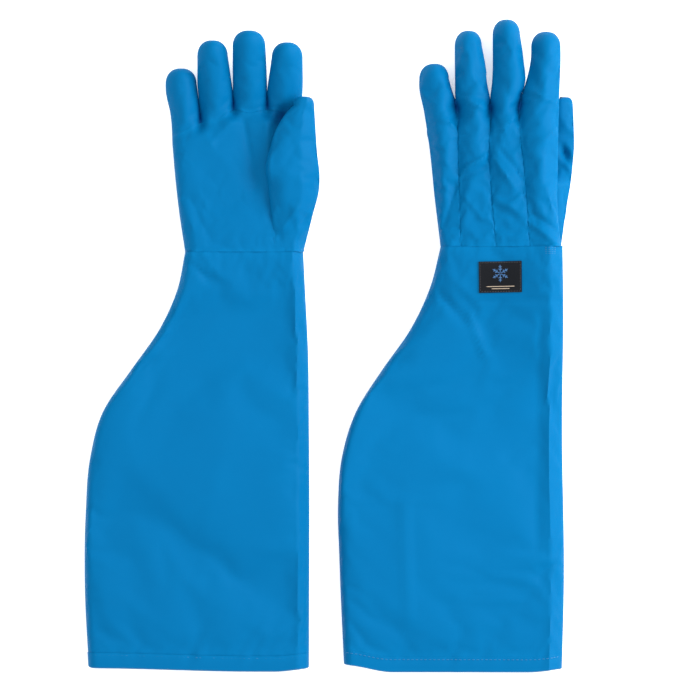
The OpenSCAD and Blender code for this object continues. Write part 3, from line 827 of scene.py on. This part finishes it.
def finger(g, f):
    name, which = GLOVES[g], FINGERS[f]
    hub = HUB[g][f]
    inside = (EDGE[g] + hub[0], SEAM[g] + hub[1], JOINTS[f"{name}_{which}_finger_bend"]["pos_m"][2] / MM)
    zone = finger_zone(g, f)
    over = (f"{name}_hand", f"{name}_{which}_finger", *zone)
    *at, deep = strip_grid(g, f)
    back = cloth(f"{name}_{which}_back", place(g, *at, finger=f), shell_cloth, HAND_T, inside,
                 loose=STRIP_LOOSE[g], bind=over, fill=FINGER_FILL, deep=deep)
    *at, deep = front_grid(g, f)
    front = cloth(f"{name}_{which}_front", place(g, *at, finger=f), shell_cloth, HAND_T, inside,
                  loose=0.005, bind=over, fill=FINGER_FILL, deep=deep)
    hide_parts(f"{name}_{which}_back_strip")
    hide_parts(*(f"{name}_{which}_finger_{k}" for k in ("shell", "insulation", "lining")))


def palm(g):
    name = GLOVES[g]
    inside = (EDGE[g] - 60, SEAM[g] + 70, float(middle(g, np.array(-60.0), np.array(70.0))))
    *at, deep = palm_grid(g)
    piece = cloth(f"{name}_palm", place(g, *at), shell_cloth, HAND_T, inside,
                  loose=PALM_LOOSE[g], bind=f"{name}_hand", fill=PALM_FILL, deep=deep)
    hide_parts(f"{name}_palm_panel", f"{name}_hand_insulation", f"{name}_hand_lining")


# ---- Thumbs ----

THUMB_CORNER = (-37.6, 84.0)  # the thumb's hinge line runs from here to the hand's edge
THUMB_HINGE_END = (16.0, 70.0)
THUMB_TIP_LENGTH = 9.0
PINCH, PINCH_RIDGE = (0.0, 7.5), (0.0, 3.0)
TIP_SLANT = (0.0, 4.0)


def thumb_grid(g, outer, rows=60, cols=30):
    """The thumb lies on the palm. Both of its panels run from the wrist to its tip, and the inner one is under it."""
    shoulder = THUMB_TIP[g] - THUMB_TIP_LENGTH
    body = np.linspace(0.5, shoulder, rows)[:, None]
    turn = np.linspace(0, math.pi / 2, 9)[1:, None]
    y = np.concatenate([body, shoulder + THUMB_TIP_LENGTH * np.sin(turn) ** 0.85])
    shrink = np.concatenate([np.ones_like(body), np.cos(turn) ** 0.6 + 1e-3])
    lower = np.concatenate([np.ones_like(body), np.cos(turn) ** 0.8 + 1e-3])
    ys = np.minimum(y, shoulder)
    x0, x1 = thumb_left(ys), thumb_right[g](ys)
    across = spread(cols, 0.6)[None, :]
    centre, half = (x0 + x1) / 2, (x1 - x0) / 2 * shrink
    centre = centre + (1 - shrink) * (x1 - x0) / 2 * (0.0, 0.35)[g]  # the left thumb's tip comes to a corner
    x = centre + half * (2 * across - 1)
    free = ease((y - 60) / 26)  # 0 where the thumb is part of the hand, 1 where it is free
    on_palm = half_thickness(np.minimum(y, 135))
    left = mix(on_palm - 0.5, 23.0, free)
    right = mix(mix(1.0, 12.0, ease(y / 45)), 22.0, free)
    base = mix(left, right, across)
    if outer:
        top = mix(mix(16.0, 27.0, ease(y / 55)), 33.0, ease((y - 40) / 45)) * lower + (1 - lower) * 23
        rise = bulge(across, mix(2.2, 2.6, free))
        if g == 0:  # flat on top, with a facet down to the right
            edge = 0.34 + 0.06 * noise_at(y / 11, 0, 7.5)
            rise = bulge(np.minimum(across, 0.5), 4.5) * np.clip((1 - across) / edge, 0, 1) ** 0.85
        n = base + (top - base) * rise
        seam_distance = np.minimum(x - (centre - half), (centre + half) - x)
        n = n + ease(seam_distance / 5) * lower * (
            CRUMPLE[g] * 1.1 * (crumple(x, y + 0 * x, 27.0, 60.0 + g) - 0.9) + (folds(g, x, y) if g == 0 else 0)
        )
        n = n + puckers(seam_distance, y + 0 * x, 63 + g, 0.9, 8.0)
    else:
        # Below the joint this panel closes the thumb's side, from the hand's edge out to the outer panel.
        x0, left = mix(hand_right[g](ys) - 9, x0, free), mix(-4.0 + 0 * left, left, free)
        centre, half = (x0 + x1) / 2, (x1 - x0) / 2 * shrink
        x = centre + half * (2 * across - 1)
        base = mix(left, right, across)
        under = mix(23.0, 15.6, lower)
        n = base - (base - under) * bulge(across, 2.4) * free - 2.5 * (1 - free) * bulge(across, 2.0) * ease(y / 20)
        n = n + ease(half / 8) * 0.6 * (crumple(x, y + 0 * x, 18.0, 70.0 + g) - 0.9) * bulge(across, 2)
        # A deep pinch and a ridge below it, on the left thumb only.
        pinch = PINCH[g] * np.exp(-(((x - 3) / 4.5) ** 2) - ((y - 93 + 0.8 * (x - 3)) / 7.0) ** 2)
        ridge = PINCH_RIDGE[g] * np.exp(-(((x - 6) / 5) ** 2) - ((y - 80 + 0.8 * (x - 6)) / 4.0) ** 2)
        n = n + pinch - ridge
    # The left thumb's tip slants down from its corner.
    return x, y + 0 * x - TIP_SLANT[g] * (1 - across) * (1 - shrink), n


def thumb(g):
    name = GLOVES[g]
    lift = JOINTS[f"{name}_thumb_bend"]["pos_m"][2]
    inside = (EDGE[g] - 10, SEAM[g] + 90, lift / MM)
    a, b = np.array(THUMB_CORNER), np.array(THUMB_HINGE_END)
    along = (b - a) / np.linalg.norm(b - a)
    ahead = np.array([-along[1], along[0]])
    zone = [(*(np.array([EDGE[g], SEAM[g]]) + (a + b) / 2 + ahead * d) * MM, lift) for d in (-3.0, 17.0)]
    over = (f"{name}_hand", f"{name}_thumb", *zone)
    outer = cloth(f"{name}_thumb_outer", place(g, *thumb_grid(g, True)), shell_cloth, HAND_T, inside,
                  loose=0.008, bind=over, fill=FINGER_FILL)
    inner = cloth(f"{name}_thumb_inner", place(g, *thumb_grid(g, False, cols=24)), shell_cloth, HAND_T, inside,
                  loose=0.015, bind=over, fill=FINGER_FILL)
    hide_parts(f"{name}_thumb_gusset", f"{name}_thumb_shell")
    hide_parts(f"{name}_thumb_insulation", f"{name}_thumb_lining")


def wrist_seam(g):
    """The seam that joins the hand to the sleeve: a low cord of cloth round the wrist."""
    name = GLOVES[g]
    paths = []
    for side in (1, -1):
        x, y, n = sleeve_grid(g, side, 2, 110, lambda u: 0 * u - 0.2, lambda u: 0 * u)
        paths.append(place(g, x, y, n)[1])
    ring = np.concatenate([paths[0], paths[1][::-1]])
    piping = tube(f"{name}_wrist_seam", [ring], 0.35, shell_cloth, sides=8)
    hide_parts(f"{name}_wrist_band")
    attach(piping, f"{name}_hand")


def wrist_stitches():
    """Rows of thread at the thumb's end of the left wrist seam, where it is sewn several times."""
    g = 1
    for k in range(4):
        x = np.linspace(-19, -5, 40)
        y = np.full(x.shape, -1.4 - 2.0 * k)
        n = sleeve_section(g, x, y, TOP_OF[g], sleeve_left[g](y), sleeve_right[g](y))
        thread = stitches(f"left_wrist_stitches_{k}", place(g, x, y, n), thread_blue,
                          length=2.4, gap=1.2, radius=0.26)
        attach(thread, "left_hand")


# ---- Label ----


def label():
    """A black woven label on the back of the left sleeve, with a plain snowflake and two bars under it."""
    g, (cx, cy), (width, height) = 1, LABEL_AT, LABEL_SIZE
    turn = LABEL_TURN

    def on_sleeve(u, v, lift):
        """u across and v up, in millimetres from the label's middle."""
        x = cx + u * math.cos(turn) - v * math.sin(turn)
        y = cy + u * math.sin(turn) + v * math.cos(turn)
        x0, x1 = sleeve_left[g](y), sleeve_right[g](y)
        n = sleeve_section(g, x, y, -1, x0, x1)
        return place(g, x, y, n - lift)

    u = np.linspace(-width / 2, width / 2, 30)[None, :]
    v = np.linspace(-height / 2, height / 2, 22)[:, None]
    patch = cloth("left_label_cloth", on_sleeve(u + 0 * v, v + 0 * u, 1.3), label_cloth, LABEL_T,
                  (EDGE[g] + cx, SEAM[g] + cy, 5.0), bind="left_sleeve", slot="label_cloth")
    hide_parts("left_label")
    arms = []
    for k in range(6):
        a = math.radians(60 * k + 30)
        c, s = math.cos(a), math.sin(a)
        line = np.linspace(0.6, 8.6, 12)
        arms.append(on_sleeve(line * c, FLAKE_UP + line * s, 1.45))
        for at, reach in ((3.6, 2.2), (6.0, 1.8)):
            for spread in (-1, 1):
                b = a + spread * math.radians(60)
                line = np.linspace(0, reach, 5)
                arms.append(on_sleeve(at * c + line * math.cos(b), FLAKE_UP + at * s + line * math.sin(b), 1.45))
    flake = tube("left_label_snowflake", arms, 0.42, thread_ice)
    lines = [on_sleeve(np.linspace(-14, 14, 24), np.full(24, -9.4), 1.4),
             on_sleeve(np.linspace(-9, 9, 20), np.full(20, -11.6), 1.4)]
    bar = tube("left_label_line", lines, 0.38, thread_cream)
    corner = np.array([[-1, -1], [1, -1], [1, 1], [-1, 1], [-1, -1]]) * [width / 2 - 1.2, height / 2 - 1.2]
    border = np.concatenate([np.linspace(a, b, 30) for a, b in zip(corner[:-1], corner[1:])])
    sewn = stitches("left_label_stitches", on_sleeve(border[:, 0], border[:, 1], 1.35), thread_dark,
                    length=1.8, gap=0.9, radius=0.22, rise=0.15)
    for piece in (flake, bar, sewn):
        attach(piece, "left_sleeve")


for g in (0, 1):
    sleeve(g)
    wrist_seam(g)
    palm(g)
    thumb(g)
    for f in range(4):
        finger(g, f)
wrist_stitches()
label()
wrinkle()
finish_panels()

# ---- Floor, light and camera ----

CAMERA_DISTANCE, FIELD_WIDTH = 4.0, 0.6985  # from the gloves, and how much of the floor the picture shows
CAMERA_OVER = (0.021, -0.004)


def area_light(name, at, size, power):
    """A square soft light that points at the middle of the floor."""
    data = bpy.data.lights.new(name, "AREA")
    data.shape, data.size, data.energy = "SQUARE", size, power
    lamp = bpy.data.objects.new(name, data)
    lamp.location = at
    lamp.rotation_euler = (-Vector(at)).to_track_quat("-Z", "Y").to_euler()
    bpy.context.scene.collection.objects.link(lamp)


def studio():
    mesh = bpy.data.meshes.new("floor")
    half = 6.0
    corners = [(-half, -half, 0), (half, -half, 0), (half, half, 0), (-half, half, 0)]
    mesh.from_pydata(corners, [], [(0, 1, 2, 3)])
    floor = bpy.data.objects.new("floor", mesh)
    bpy.context.scene.collection.objects.link(floor)
    white, _, _ = principled("floor_white", (0.93, 0.93, 0.93), Roughness=0.9, **{
        "Specular_IOR_Level": 0.1, "Emission_Color": (1, 1, 1, 1), "Emission_Strength": 0.4})
    mesh.materials.append(white)
    bpy.context.scene.view_settings.view_transform = "Standard"
    world = bpy.data.worlds.new("studio")
    world.use_nodes = True
    world.node_tree.nodes["Background"].inputs["Color"].default_value = (1, 1, 1, 1)
    world.node_tree.nodes["Background"].inputs["Strength"].default_value = 1.1
    bpy.context.scene.world = world
    area_light("key", (1.5, 0.5, 1.1), 1.2, 46)
    area_light("fill", (-0.2, 0.0, 2.4), 1.8, 10)
    camera_data = bpy.data.cameras.new("camera")
    camera_data.sensor_width = 36
    camera_data.lens = 36 * CAMERA_DISTANCE / FIELD_WIDTH
    camera_data.clip_end = 50
    camera = bpy.data.objects.new("camera", camera_data)
    camera.location = (*CAMERA_OVER, CAMERA_DISTANCE + 0.02)
    bpy.context.scene.collection.objects.link(camera)
    bpy.context.scene.camera = camera


studio()
